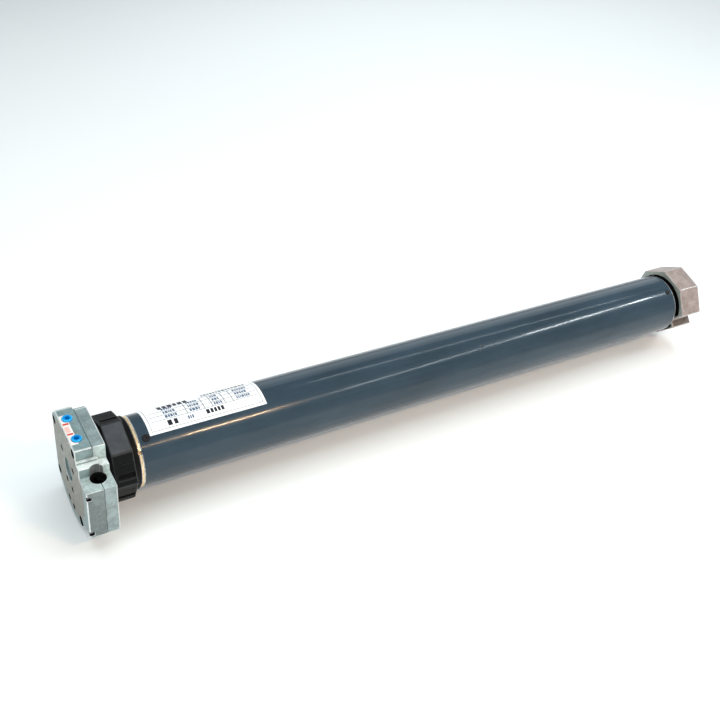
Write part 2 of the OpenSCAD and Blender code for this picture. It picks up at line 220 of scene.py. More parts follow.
def prism(outline, x0, x1):
    """An outline of (y, z) points, from x0 to x1."""
    return loft("prism", [[(x, y, z) for y, z in outline] for x in (x0, x1)])


def block(low, high):
    outline = [(low[1], low[2]), (high[1], low[2]), (high[1], high[2]), (low[1], high[2])]
    return prism(outline, low[0], high[0])


def circle(r, sides, y=0, z=0, turn=0):
    steps = [turn + 360 * i / sides for i in range(sides)]
    return [(y + r * math.cos(math.radians(a)), z + r * math.sin(math.radians(a))) for a in steps]


def rod(x0, x1, r, y=0, z=0, sides=64):
    return prism(circle(r, sides, y, z), x0, x1)


def post(x, y, z0, z1, r, sides=48, turn=0):
    """An upright cylinder, or a prism where sides is small."""
    ring = circle(r, sides, x, y, turn)
    return loft("post", [[(a, b, z) for a, b in ring] for z in (z0, z1)])


def side_post(x, z, y0, y1, r, sides=48):
    """A cylinder along Y."""
    ring = circle(r, sides, x, z)
    return loft("side_post", [[(a, y, b) for a, b in ring] for y in (y0, y1)])


def turned(name, profile, sides=128):
    """A closed profile of (x, r) points, turned about the drive axis."""
    verts = []
    for i in range(sides):
        a = 2 * math.pi * i / sides
        verts += [(x, r * math.cos(a), r * math.sin(a)) for x, r in profile]
    count = len(profile)
    faces = []
    for i in range(sides):
        a, b = i * count, ((i + 1) % sides) * count
        for k in range(count):
            m = (k + 1) % count
            faces.append([a + k, a + m, b + m, b + k])
    return solid(name, verts, faces)


def rotated(piece, degrees, point=(0, 0, 0)):
    """Turns the mesh about the drive axis, after a shift in millimetres."""
    shift = Matrix.Translation(Vector(point) * MM)
    piece.data.transform(Matrix.Rotation(math.radians(degrees), 4, "X") @ shift)
    return piece


def bake(piece):
    """Applies the modifiers."""
    graph = bpy.context.evaluated_depsgraph_get()
    mesh = bpy.data.meshes.new_from_object(piece.evaluated_get(graph))
    old = piece.data
    piece.modifiers.clear()
    piece.data = mesh
    bpy.data.meshes.remove(old)
    return piece


def discard(piece):
    mesh = piece.data
    bpy.data.objects.remove(piece)
    bpy.data.meshes.remove(mesh)


def combine(piece, tools, operation):
    """Cuts, joins or intersects with each tool, which is used up."""
    for tool in tools:
        step = piece.modifiers.new("combine", "BOOLEAN")
        step.operation = operation
        step.solver = "EXACT"
        step.object = tool
        bake(piece)
        discard(tool)
    return piece


def cut(piece, *tools):
    return combine(piece, tools, "DIFFERENCE")


def join(piece, *tools):
    return combine(piece, tools, "UNION")


def clean(piece, angle=1.0):
    """Joins doubled points and flat neighbours, so that bevels run cleanly."""
    shape = bmesh.new()
    shape.from_mesh(piece.data)
    bmesh.ops.remove_doubles(shape, verts=shape.verts, dist=0.002 * MM)
    bmesh.ops.dissolve_limit(
        shape, angle_limit=math.radians(angle), verts=shape.verts, edges=shape.edges,
        delimit={"MATERIAL"})
    bmesh.ops.recalc_face_normals(shape, faces=shape.faces)
    shape.to_mesh(piece.data)
    shape.free()
    return piece


def round_edges(piece, width, segments=3, angle=30, wear_and_highlight=False):
    """Rounds every edge sharper than angle. If asked, the rounding takes the second material: wear and
    a painted highlight.
    """
    step = piece.modifiers.new("round", "BEVEL")
    step.width = width * MM
    step.segments = segments
    step.limit_method = "ANGLE"
    step.angle_limit = math.radians(angle)
    step.use_clamp_overlap = False
    step.miter_outer = "MITER_ARC"
    if wear_and_highlight:
        step.material = EDGE
    return bake(piece)


def round_outside(piece, width, tight_x, tight=0.3):
    """Rounds the sharp edges, but only a little in the plane at tight_x."""
    shape = bmesh.new()
    shape.from_mesh(piece.data)
    weight = shape.edges.layers.float.new("bevel_weight_edge")
    for edge in shape.edges:
        if edge.calc_face_angle(0) > math.radians(30):
            inside = all(abs(v.co.x / MM - tight_x) < 0.01 for v in edge.verts)
            edge[weight] = tight / width if inside else 1.0
    shape.to_mesh(piece.data)
    shape.free()
    step = piece.modifiers.new("round", "BEVEL")
    step.width = width * MM
    step.segments = 3
    step.limit_method = "WEIGHT"
    step.use_clamp_overlap = False
    # the rounding takes the edge material, wear and a painted highlight, except in the tight plane
    step.material = EDGE
    bake(piece)
    for face in piece.data.polygons:
        if face.material_index == EDGE and abs(face.center.x / MM - tight_x) < tight + 0.05:
            face.material_index = BASE
    return piece


def hollow(tool, index=HOLLOW):
    """A cutting tool that leaves the dark material on the faces it makes: painted shade inside holes,
    pockets and slots, and the dark joint between the halves.
    """
    add_slots(tool, index + 1)
    for face in tool.data.polygons:
        face.material_index = index
    return tool


def smooth(piece, angle=32):
    """Smooth shading, with true creases where faces meet sharply."""
    for face in piece.data.polygons:
        face.use_smooth = True
    piece.data.set_sharp_from_angle(angle=math.radians(angle))
    step = piece.modifiers.new("normals", "WEIGHTED_NORMAL")
    step.keep_sharp = True
    return piece


def paint(piece, *materials):
    """Sets the materials in slot order and keeps each face's index."""
    index = [face.material_index for face in piece.data.polygons]
    piece.data.materials.clear()
    for material in materials:
        piece.data.materials.append(material)
    for face, i in zip(piece.data.polygons, index):
        face.material_index = min(i, len(materials) - 1)
    return piece


def add_slots(piece, count=SIDE_SHADE):
    """Room for the edge material, wear and painted highlight, and the hollow one, painted shade, before
    the rounding is applied.
    """
    while len(piece.data.materials) < count:
        piece.data.materials.append(bpy.data.materials.new("slot"))
    return piece


def hand_over(piece, name, body, slot, *nodes):
    """Names the piece, lets it ride on its body and stand for its CAD nodes."""
    piece.name = name
    piece.data.name = name
    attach(piece, body)
    if nodes:
        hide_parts(*nodes)
    return piece


# ---- Materials ----

class Shader:
    """A Principled material with short calls for procedural nodes."""

    def __init__(self, name, color, rough, metallic=0.0):
        self.material = bpy.data.materials.new(name)
        self.material.use_nodes = True
        self.tree = self.material.node_tree
        self.bsdf = self.tree.nodes["Principled BSDF"]
        self.bsdf.inputs["Base Color"].default_value = (*color, 1)
        self.bsdf.inputs["Roughness"].default_value = rough
        self.bsdf.inputs["Metallic"].default_value = metallic
        self.place = self.node("ShaderNodeTexCoord").outputs["Object"]

    def node(self, kind, **settings):
        made = self.tree.nodes.new(kind)
        for key, value in settings.items():
            setattr(made, key, value)
        return made

    def link(self, source, target):
        self.tree.links.new(source, target)

    def stretched(self, scale):
        """Object coordinates, stretched along some axes."""
        mapping = self.node("ShaderNodeMapping")
        mapping.inputs["Scale"].default_value = scale
        self.link(self.place, mapping.inputs["Vector"])
        return mapping.outputs["Vector"]

    def noise(self, size, detail=3, rough=0.55, stretch=None):
        """Noise with patches of about that size, in millimetres."""
        made = self.node("ShaderNodeTexNoise")
        made.inputs["Scale"].default_value = 1 / (size * MM)
        made.inputs["Detail"].default_value = detail
        made.inputs["Roughness"].default_value = rough
        self.link(self.stretched(stretch) if stretch else self.place, made.inputs["Vector"])
        return made.outputs["Fac"]

    def ramp(self, source, *stops):
        """Stops are (position, colour or grey)."""
        made = self.node("ShaderNodeValToRGB")
        while len(made.color_ramp.elements) < len(stops):
            made.color_ramp.elements.new(0.5)
        for element, (position, color) in zip(made.color_ramp.elements, stops):
            grey = isinstance(color, (int, float))
            element.position = position
            element.color = (color, color, color, 1) if grey else (*color, 1)
        self.link(source, made.inputs["Fac"])
        return made.outputs["Color"]

    def tone(self, source, color, low, high):
        """Shades of one colour. Each end is (position, factor)."""
        return self.ramp(source, *[(at, shade(color, factor)) for at, factor in (low, high)])

    def bands(self, pitch, distortion=0.0):
        """Bands across the drive axis, with a pitch in millimetres."""
        made = self.node("ShaderNodeTexWave", wave_type="BANDS", bands_direction="X")
        made.inputs["Scale"].default_value = 1 / (pitch * MM) / 6.28
        made.inputs["Distortion"].default_value = distortion
        self.link(self.place, made.inputs["Vector"])
        return made.outputs["Fac"]

    def compare(self, source, low, high):
        """0 at low and 1 at high, in between a straight line."""
        made = self.node("ShaderNodeMapRange", clamp=True)
        made.inputs["From Min"].default_value = low
        made.inputs["From Max"].default_value = high
        self.link(source, made.inputs["Value"])
        return made.outputs["Result"]

    def mix(self, a, b, factor):
        """a where factor is 0 and b where it is 1. Each is a socket or a value."""
        made = self.node("ShaderNodeMix", data_type="RGBA", blend_type="MIX")
        for source, socket in ((factor, 0), (a, 6), (b, 7)):
            target = made.inputs[socket]
            if hasattr(source, "links"):
                self.link(source, target)
            elif socket == 0:
                target.default_value = source
            else:
                target.default_value = (*source, 1)
        return made.outputs[2]

    def color(self, source):
        self.link(source, self.bsdf.inputs["Base Color"])
        return self

    def rough(self, source, low, high):
        """Roughness between low and high, after source."""
        made = self.node("ShaderNodeMapRange")
        made.inputs["To Min"].default_value = low
        made.inputs["To Max"].default_value = high
        self.link(source, made.inputs["Value"])
        self.link(made.outputs["Result"], self.bsdf.inputs["Roughness"])
        return self

    def bump(self, source, height, strength=1.0):
        """Height is in millimetres."""
        made = self.node("ShaderNodeBump")
        made.inputs["Distance"].default_value = height * MM
        made.inputs["Strength"].default_value = strength
        self.link(source, made.inputs["Height"])
        before = self.bsdf.inputs["Normal"]
        if before.links:
            self.link(before.links[0].from_socket, made.inputs["Normal"])
        self.link(made.outputs["Normal"], before)
        return self

    def cast_grain(self):
        self.bump(self.noise(0.7, 3, 0.65), 0.12, 0.55)
        return self.bump(self.noise(5, 2), 0.25, 0.25)


def shade(color, factor):
    return tuple(min(1.0, c * factor) for c in color)


def cast_metal(name, color, metallic=0.35, rough=0.42, stain=(0.17, 0.17, 0.15)):
    """Die-cast metal: cloudy tone, fine grain, a few stains and a dull sheen."""
    made = Shader(name, color, rough, metallic)
    cloud = made.tone(made.noise(9, 5, 0.65), color, (0.34, 0.72), (0.66, 1.18))
    speck = made.ramp(made.noise(1.4, 2, 0.6), (0.56, 0.0), (0.72, 0.7))
    spotted = made.mix(cloud, shade(color, 1.45), speck)
    stains = made.ramp(made.noise(5.5, 6, 0.72), (0.53, 0.0), (0.68, 0.65))
    made.color(made.mix(spotted, stain, stains))
    made.rough(made.noise(3, 3), rough - 0.10, rough + 0.14)
    return made.cast_grain().material


def bare_metal_and_highlight(name, color, rough=0.3, metallic=0.45):
    """Bright bare metal, also used as the painted highlight on rounded edges and the painted reflection
    on a rim.
    """
    made = Shader(name, color, rough, metallic)
    made.color(made.tone(made.noise(2.2, 4, 0.6), color, (0.35, 0.82), (0.62, 1.08)))
    made.rough(made.noise(1.5, 2), rough - 0.06, rough + 0.12)
    made.bump(made.noise(0.8, 2), 0.05, 0.4)
    return made.material


def machined_metal(name, color, rough=0.3, metallic=0.9):
    """Turned or ground metal: fine rings across the axis and light stains."""
    made = Shader(name, color, rough, metallic)
    rings = made.noise(0.35, 2, 0.5, stretch=(1.0, 0.04, 0.04))
    made.color(made.tone(made.noise(4, 4), color, (0.3, 0.82), (0.7, 1.1)))
    made.rough(rings, rough - 0.08, rough + 0.12)
    made.bump(rings, 0.03, 0.4)
    return made.material


def moulded_plastic(name, color, rough=0.5, grain=0.5, shine=0.5):
    """Moulded plastic: fine texture, faint cloudiness, light scuffs from wear."""
    made = Shader(name, color, rough)
    made.bsdf.inputs["Specular IOR Level"].default_value = shine
    cloud = made.tone(made.noise(9, 4), color, (0.35, 0.82), (0.7, 1.25))
    scuff = made.ramp(made.noise(2.6, 6, 0.75), (0.62, 0.0), (0.80, 0.35))
    made.color(made.mix(cloud, shade(color, 3.2), scuff))
    made.rough(made.noise(2, 3), rough - 0.06, rough + 0.12)
    made.bump(made.noise(grain, 3, 0.6), 0.06, 0.5)
    return made.material


def tube_paint():
    """Glossy slate paint over drawn steel: faint lengthwise lines and orange peel."""
    color = (0.029, 0.049, 0.069)
    made = Shader("tube_paint", color, 0.2)
    lines = made.noise(1.6, 3, 0.55, stretch=(0.02, 1.0, 1.0))
    cloud = made.noise(26, 4, 0.6, stretch=(0.3, 1.0, 1.0))
    patches = made.tone(cloud, color, (0.3, 0.80), (0.7, 1.22))
    made.color(made.mix(patches, shade(color, 1.5), made.ramp(lines, (0.55, 0.0), (0.8, 0.5))))
    made.rough(made.noise(7, 3, stretch=(0.3, 1.0, 1.0)), 0.14, 0.27)
    made.bump(made.noise(1.3, 2), 0.012, 0.5)
    made.bump(lines, 0.02, 0.35)
    made.bsdf.inputs["Specular IOR Level"].default_value = 0.2
    made.bsdf.inputs["Coat Weight"].default_value = 0.25
    made.bsdf.inputs["Coat Roughness"].default_value = 0.06
    return made.material


def printed_film(name, color, gloss=0.28):
    """Printed film: slightly uneven white with a soft sheen."""
    made = Shader(name, color, gloss)
    made.color(made.tone(made.noise(14, 3), color, (0.3, 0.94), (0.7, 1.03)))
    made.rough(made.noise(5, 2), gloss - 0.05, gloss + 0.08)
    made.bump(made.noise(9, 2), 0.03, 0.3)
    return made.material


def gold_band():
    """Satin golden metal with scratches and darker tarnish."""
    color = (0.98, 0.67, 0.36)
    tarnish = (0.36, 0.17, 0.07)
    made = Shader("gold_band", color, 0.3, 0.55)
    bright = shade(color, 1.15)
    made.color(made.ramp(made.noise(3.2, 5, 0.65), (0.30, tarnish), (0.46, color), (0.72, bright)))
    made.rough(made.noise(1.2, 3), 0.2, 0.42)
    made.bump(made.noise(1.0, 3), 0.06, 0.5)
    return made.material


def wound_wire(name, color):
    """Enamelled wire, packed in rows."""
    made = Shader(name, color, 0.32, 0.6)
    wires = made.bands(1.2, 1.2)
    made.color(made.tone(wires, color, (0.2, 0.55), (0.7, 1.15)))
    made.bump(wires, 0.25, 0.7)
    return made.material


def steel_sheets(name, color):
    """Stacked steel sheets, edge on."""
    made = Shader(name, color, 0.42, 0.8)
    sheets = made.bands(1.0)
    made.color(made.tone(sheets, color, (0.25, 0.6), (0.6, 1.1)))
    made.bump(sheets, 0.1, 0.6)
    return made.material


def zoned_face():
    """The head's casting: the mounting face inside its rim takes a duller, warmer tone, a painted warm
    light.
    """
    base, stain = (0.245, 0.335, 0.345), (0.17, 0.18, 0.165)
    warm_dark, warm_light = (0.15, 0.147, 0.125), (0.29, 0.285, 0.245)
    made = Shader("cast_zinc", base, 0.42, 0.3)
    cloud = made.tone(made.noise(9, 5, 0.65), base, (0.34, 0.76), (0.66, 1.16))
    speck = made.ramp(made.noise(1.3, 2, 0.6), (0.56, 0.0), (0.72, 0.65))
    tone = made.mix(cloud, shade(base, 1.4), speck)
    stains = made.ramp(made.noise(5.5, 6, 0.72), (0.54, 0.0), (0.70, 0.55))
    tone = made.mix(tone, stain, stains)
    split = made.node("ShaderNodeSeparateXYZ")
    made.link(made.place, split.inputs["Vector"])
    near = made.ramp(made.compare(split.outputs["X"], 0.0, 0.9 * MM), (0.3, 1.0), (0.7, 0.0))
    warm = made.ramp(made.noise(4, 5, 0.7), (0.35, warm_dark), (0.65, warm_light))
    radius = made.node("ShaderNodeVectorMath", operation="LENGTH")
    made.link(made.stretched((0, 1, 1)), radius.inputs[0])
    rim = made.compare(radius.outputs["Value"], 39 * MM, 43 * MM)
    inside = made.ramp(rim, (0.0, 1.0), (1.0, 0.0))
    # painted warm light on the mounting face, inside the rim
    mask = made.mix((0, 0, 0), near, inside)
    made.color(made.mix(tone, warm, mask))
    made.rough(made.noise(3, 3), 0.33, 0.55)
    return made.cast_grain().material


def make_materials():
    return {**outer_materials(), **inner_materials()}


def outer_materials():
    return {
        "cast": zoned_face(),
        "cast_base": cast_metal("cast_zinc_base", (0.29, 0.36, 0.37)),
        # Lighter copies of the casting: painted light on the notch's upward faces and wall.
        "cast_painted_light": cast_metal("cast_zinc_painted_light", (0.50, 0.60, 0.59)),
        "cast_painted_highlight": cast_metal("cast_zinc_painted_highlight", (0.78, 0.84, 0.84)),
        # A darker copy of the casting: painted shade in the bite above the crank hole.
        "cast_shade": cast_metal("cast_zinc_shade", (0.20, 0.225, 0.23)),
        # A darker copy of the casting: painted shade on the cover's crank side.
        "cast_side_shade": cast_metal("cast_zinc_side_shade", (0.18, 0.22, 0.222), 0.35, 0.42, (0.09, 0.10, 0.095)),
        # Wear and a painted highlight on the castings' rounded edges.
        "edge": bare_metal_and_highlight("cast_edge_wear_and_highlight", (0.74, 0.79, 0.79)),
        # Near black: painted shade in hollows and pockets, and the dark crank bush and joint.
        "dark": moulded_plastic("hollow_shade_and_dark_plastic", (0.006, 0.006, 0.007), 0.8, shine=0.15),
        "crown": moulded_plastic("crown_plastic", (0.0035, 0.004, 0.0045), 0.5, shine=0.15),
        # A lighter copy of the crown's plastic: painted highlight on its rounded edges.
        "crown_edge_highlight": moulded_plastic("crown_edge_highlight", (0.022, 0.023, 0.025), 0.4, shine=0.3),
        # A lighter copy of the crown's plastic: painted sheen on two of its flats.
        "crown_painted_sheen": moulded_plastic("crown_painted_sheen", (0.046, 0.049, 0.056), 0.46),
        "paint": tube_paint(),
        "bare": bare_metal_and_highlight("tube_bare_end", (0.72, 0.75, 0.76), 0.25, 0.8),
        "gold": gold_band(),
        "label": printed_film("label_film", (0.95, 0.95, 0.98)),
        "print": printed_film("label_print", (0.012, 0.012, 0.02), 0.45),
        "print_line": printed_film("label_line", (0.09, 0.095, 0.12), 0.45),
        "print_blue": printed_film("label_blue", (0.07, 0.11, 0.19), 0.45),
        "sticker": printed_film("sticker_film", (0.86, 0.80, 0.76)),
        "sticker_red": printed_film("sticker_red", (0.62, 0.08, 0.06)),
        "sticker_pink": printed_film("sticker_pink", (0.86, 0.50, 0.46)),
        "blue": moulded_plastic("blue_plastic", (0.0, 0.215, 0.60), 0.25),
        # A lighter blue: painted highlight on the limit screws' rounded rims.
        "blue_edge_highlight": moulded_plastic("blue_edge_highlight", (0.02, 0.42, 0.82), 0.22),
        "wheel": cast_metal("wheel_casting", (0.385, 0.312, 0.294), 0.35, 0.38, (0.25, 0.17, 0.13)),
        # A darker copy of the wheel's casting: painted shade on the cut corner, which faces down.
        "wheel_corner_shade": cast_metal("wheel_corner_shade", (0.19, 0.155, 0.135), 0.35, 0.42, (0.06, 0.05, 0.04)),
        # A lighter copy for the wheel's rounded edges: painted highlight.
        "wheel_edge_highlight": bare_metal_and_highlight("wheel_edge_highlight", (0.47, 0.41, 0.39)),
        # A lighter greenish metal: painted reflection on the wheel's face towards the tube.
        "wheel_rim_reflection": bare_metal_and_highlight("wheel_rim_reflection", (0.30, 0.33, 0.31)),
        "black_steel": machined_metal("black_steel", (0.022, 0.022, 0.026), 0.34, 0.55),
        "screw_black": moulded_plastic("screw_black", (0.010, 0.010, 0.012), 0.5, shine=0.3),
        # A lighter copy of the screws' black: painted highlight ring on their rounded edges.
        "screw_edge_highlight": moulded_plastic("screw_edge_highlight", (0.035, 0.035, 0.040), 0.35, shine=0.5),
    }


def inner_materials():
    return {
        "blackened": moulded_plastic("blackened_steel", (0.006, 0.006, 0.007), 0.85, shine=0.1),
        "steel": machined_metal("steel", (0.56, 0.57, 0.58)),
        "bright_steel": bare_metal_and_highlight("bright_steel", (0.80, 0.82, 0.82), 0.24, 0.8),
        "hard_steel": machined_metal("hardened_steel", (0.40, 0.40, 0.42), 0.34),
        "bronze": machined_metal("bronze", (0.62, 0.40, 0.17), 0.34),
        "inner_cast": cast_metal("inner_cast", (0.56, 0.57, 0.58)),
        "inner_plastic": moulded_plastic("inner_plastic", (0.05, 0.05, 0.055)),
        "white_plastic": moulded_plastic("white_plastic", (0.72, 0.72, 0.70)),
        "rubber": moulded_plastic("rubber", (0.018, 0.018, 0.018), 0.75, 0.9),
        "copper": wound_wire("copper_wire", (0.62, 0.25, 0.10)),
        "sheets": steel_sheets("steel_sheets", (0.36, 0.38, 0.41)),
        "lining": moulded_plastic("brake_lining", (0.16, 0.09, 0.055), 0.8, 1.2),
    }


# ---- Head ----

def arc(r, start, end, step=3.0):
    """(y, z) points on a circle about the drive axis, from +Y towards +Z."""
    count = max(2, round(abs(end - start) / step))
    turn = [math.radians(start + (end - start) * i / count) for i in range(count + 1)]
    return [(r * math.cos(a), r * math.sin(a)) for a in turn]


def head_outline(r, inset=0.0, deep=0.0):
    """The round head with its flats, its crank block and the notch above the block."""
    top = SCREW_FLAT - inset
    plain = PLAIN_FLAT - inset
    side = BLOCK_SIDE + inset
    foot, face, wall = BLOCK_FOOT + deep, CRANK[2] - deep, NOTCH_WALL + deep
    top_turn = math.degrees(math.asin(top / r))
    flat_turn = math.degrees(math.acos(plain / r))
    foot_turn = math.degrees(math.asin(foot / r))
    points = arc(r, top_turn, flat_turn)
    points += arc(r, -flat_turn, -180 - foot_turn)
    points += [(side, foot), (side, face), (wall, face), (wall, top)]
    return points


def chambers():
    """The hollows that both halves of the head share, as cutting tools."""
    wheel = rod(CHAMBER[0], CHAMBER[1], CHAMBER[2], sides=96)
    worm = post(CRANK[0], CRANK[1], *WORM_SPACE)
    journal = post(CRANK[0], CRANK[1], *JOURNAL_SPACE)
    bush = post(CRANK[0], CRANK[1], 13, CRANK[2] - 0.8, CRANK_R + 2)
    low, high = node_box("limit_unit_case")
    limit = block((2.5, low[1] - 0.5, 30.6), (19, high[1] + 0.5, high[2] + 0.2))
    pinion = rod(17.5, 24.5, 1.6, 0, middle("limit_pinion")[2])
    gland = side_post(CABLE[0], CABLE[2], PLAIN_FLAT - 6.1, PLAIN_FLAT + 2, 6)
    lead = side_post(CABLE[0], CABLE[2], 24, PLAIN_FLAT - 5, 5)
    return [wheel, worm, journal, bush, limit, pinion, gland, lead]


def crank_hole():
    """The way in for the crank, and above it the bite it takes from the ledge."""
    ring = circle(RELIEF_R, 48, CRANK[0], CRANK[1])
    rings = [[(x, y, z) for x, y in ring] for z in (SHELF_FOOT, CRANK[2] - 0.1, ABOVE_HEAD)]
    # The bite's walls take a darker copy of the casting, painted shade; the hole below the crank face
    # takes the dark hollow material, painted shade too.
    tool = hollow(loft("crank_hole", rings), SHADE)
    for face in tool.data.polygons:
        if face.center.z / MM < CRANK[2] - 0.2:
            face.material_index = HOLLOW
    return tool


def limit_screw_holes():
    z0, z1 = SCREW_FLAT - 6, SCREW_FLAT + 3
    return [post(*middle(node)[:2], z0, z1, LIMIT_HOLE_R) for node in LIMIT_SCREWS]


def bolt_places():
    """(y, z, radius) of each bolt hole in the mounting face, from the frame's mounts."""
    places = []
    for name in ("upper_bolts", "lower_bolts", "edge_bolts"):
        mount = MOUNTS[name]
        half = mount["dims"]["spacing_x_mm"] / 2
        z, r = mount["pos_m"][2] / MM, mount["dims"]["hole_r_mm"]
        places += [(y, z, r) for y in (-half, half)]
    return places


def bolt_holes():
    """The bolt holes of the mounting face and its small dimples."""
    tools = [rod(-1, 6, r, y, z, 32) for y, z, r in bolt_places()]
    tools += [rod(-1, 1.8, 2, y, 36, 24) for y in (-6, 6)]
    tools.append(rod(-1, 0.8, 1.1, -18.6, -8.4, 24))
    return tools


def cover_screw_holes():
    tools = []
    for y, z in COVER_SCREWS:
        pocket_r = WIDE_POCKET_R if (y, z) == COVER_SCREWS[2] else POCKET_R
        tools.append(rod(-1, 3.5, pocket_r, y, z, 36))
        tools.append(rod(3, 21, 2.05, y, z, 24))
    return tools


def darken_rims(piece):
    """The rims of the small holes and the crank hole's depth take the dark hollow material, painted
    shade, in place of the edge's painted highlight.
    """
    holes = COVER_SCREWS + [(y, z) for y, z, _ in bolt_places()]
    reach = WIDE_POCKET_R + 0.4
    for face in piece.data.polygons:
        x, y, z = face.center / MM
        on_rim = x < 0.6 and any(math.hypot(y - a, z - b) < reach for a, b in holes)
        from_crank = math.hypot(x - CRANK[0], y - CRANK[1])
        deep = from_crank < RELIEF_R + 0.3 and z < CRANK[2] - 0.3
        if face.material_index == EDGE and (on_rim or deep):
            face.material_index = HOLLOW


def ledge(x0, x1, steps):
    """A stepped shelf beside the notch wall. Each step is its side and its top."""
    outline = [(NOTCH_WALL, SHELF_FOOT), (NOTCH_WALL, steps[0][1])]
    for i, (side, top) in enumerate(steps):
        low = steps[i + 1][1] if i + 1 < len(steps) else SHELF_FOOT
        outline += [(side, top), (side, low)]
    shelf = add_slots(prism(outline, x0, x1))
    return round_edges(shelf, 0.5, 3, wear_and_highlight=True)


def lighten_notch(piece, wall_too):
    """Painted light: the upward faces of the notch, and with wall_too its wall, take lighter copies of
    the casting.
    """
    for face in piece.data.polygons:
        _, y, z = face.center / MM
        outside = y > NOTCH_WALL + 0.4 or z < CRANK[2] - 1.2
        if outside or face.material_index in (HOLLOW, SHADE):
            continue
        if face.normal.z > 0.6:
            # painted light: brightest on the ledge tops, paler on the crank face and wall
            face.material_index = PAINTED_HIGHLIGHT if z > CRANK[2] + 2 else PAINTED_LIGHT
        elif wall_too and face.normal.y < -0.6:
            face.material_index = PAINTED_LIGHT


def head_materials(look, name):
    """In the order of the material slots."""
    return [look[key] for key in (name, "edge", "dark", "cast_painted_light", "cast_painted_highlight", "cast_shade")]


def make_head_cover(look):
    """The front half, with the mounting face and the ledge beside the crank hole."""
    cover = add_slots(prism(head_outline(COVER_R), 0, PART_X))
    round_outside(cover, 0.9, PART_X)
    holes = [hollow(tool) for tool in bolt_holes() + cover_screw_holes() + chambers()]
    cut(cover, rod(-2, RECESS_DEPTH, RECESS_R), *holes, *limit_screw_holes())
    join(cover, cut(rod(CHAMBER[0] - 0.5, 15, BOSS_R), rod(0, 20, BOSS_BORE)))
    filler = block((0.9, NOTCH_WALL - 1.2, SHELF_FOOT), (PART_X - 0.4, NOTCH_WALL + 1, LEDGE_TOP - 0.6))
    join(cover, join(ledge(0, LEDGE_END, LEDGE_STEPS), filler))
    cut(cover, crank_hole(), rod(2, 20, BOSS_BORE))
    for z in SQUARE_POCKETS:
        high = (SQUARE_SIDE, BLOCK_SIDE + 3, z + SQUARE_SIDE)
        cut(cover, hollow(block((-1, BLOCK_SIDE - 1, z), high)))
    clean(cover)
    round_edges(cover, 0.22, 2, angle=58, wear_and_highlight=True)
    lighten_notch(cover, False)
    darken_rims(cover)
    # The flat crank side takes a darker copy of the casting: painted shade.
    for face in cover.data.polygons:
        on_side = face.normal.y < -0.9 and face.center.y / MM < BLOCK_SIDE + 0.2
        if on_side and face.material_index == BASE:
            face.material_index = SIDE_SHADE
    smooth(paint(cover, *head_materials(look, "cast"), look["cast_side_shade"]))
    hand_over(cover, "head_cover_casting", "head", "cast_zinc", "head_cover")


def make_head_base(look):
    """The rear half, with a narrow dark joint towards the cover."""
    base = add_slots(prism(head_outline(BASE_R, 0.35), PART_X + JOINT, HEAD_DEPTH))
    round_outside(base, 0.8, PART_X + JOINT)
    join(base, hollow(prism(head_outline(BASE_R - 1, 1.4, 1), PART_X + 0.02, PART_X + JOINT + 1)))
    shelf = ledge(LEDGE_END + 0.1, HEAD_DEPTH - 0.3, [(LEDGE_STEPS[1][0], BASE_LEDGE_TOP)])
    high = (HEAD_DEPTH - 1, NOTCH_WALL + 2, 25.4)
    join(base, join(shelf, block((LEDGE_END + 1, NOTCH_WALL - 1.2, SHELF_FOOT), high)))
    cut(base, crank_hole())
    join(base, rod(HEAD_DEPTH - 2, NECK_END, NECK_R, sides=96))
    cut(base, *[hollow(tool) for tool in chambers() + cover_screw_holes()])
    well = cut(rod(20, HEAD_DEPTH + 0.5, 30.2, sides=96), rod(19, HEAD_DEPTH + 2, NECK_R, sides=96))
    cut(base, well, rod(20, HEAD_DEPTH + 1, 5.4, 0, middle("limit_pinion")[2]))
    cut(base, rod(16, NECK_END + 2, NECK_IN, sides=96))
    clean(base)
    round_edges(base, 0.2, 2, angle=58, wear_and_highlight=True)
    lighten_notch(base, True)
    darken_rims(base)
    smooth(paint(base, *head_materials(look, "cast_base")))
    hand_over(base, "head_base_casting", "head", "cast_zinc", "head_base")


def make_cover_screws(look):
    """Screws with a hexagon socket, in the pockets of the mounting face."""
    near, far, head_r, shank_r = 1.0, 3.4, 3.4, 2
    for number, (y, z) in enumerate(COVER_SCREWS, 1):
        screw = add_slots(rod(near, far, head_r, y, z, 40))
        round_edges(screw, 0.35, 3)
        join(screw, rod(far - 0.3, far + 16, shank_r, y, z, 24))
        cut(screw, prism(circle(1.8, 6, y, z), near - 1, near + 1.68))
        smooth(paint(clean(screw), look["steel"], look["bright_steel"]))
        nodes = ["cover_screws"] if number == 1 else []
        hand_over(screw, f"cover_screw_{number}", "head", "steel", *nodes)


def make_crank_bush(look):
    """A dark ring inside the crank hole."""
    bush = post(CRANK[0], CRANK[1], CRANK[2] - 5.3, CRANK[2] - 0.85, CRANK_R + 1.9, 64)
    cut(bush, post(CRANK[0], CRANK[1], 0, 30, CRANK_R, 64))
    round_edges(clean(bush), 0.35, 3)
    smooth(paint(bush, look["dark"]))
    hand_over(bush, "crank_bush_ring", "head", "steel", "crank_bush")


def make_limit_screw(node, look):
    """A blue plastic screw with a hexagon socket, on a thinner stem."""
    x, y, _ = middle(node)
    top = node_box(node)[1][2]
    screw = post(x, y, 36, top, LIMIT_SCREW_R, 64)
    add_slots(screw)
    round_edges(screw, 0.7, 4, wear_and_highlight=True)
    join(screw, post(x, y, 31.2, 36.5, 2.2, 32))
    cut(screw, post(x, y, top - 3.2, top + 2, 2.3, 6, 15))
    clean(screw)
    round_edges(screw, 0.15, 2, angle=50, wear_and_highlight=True)
    smooth(paint(screw, look["blue"], look["blue_edge_highlight"]))
    hand_over(screw, node + "_blue", node, "blue_plastic", node)


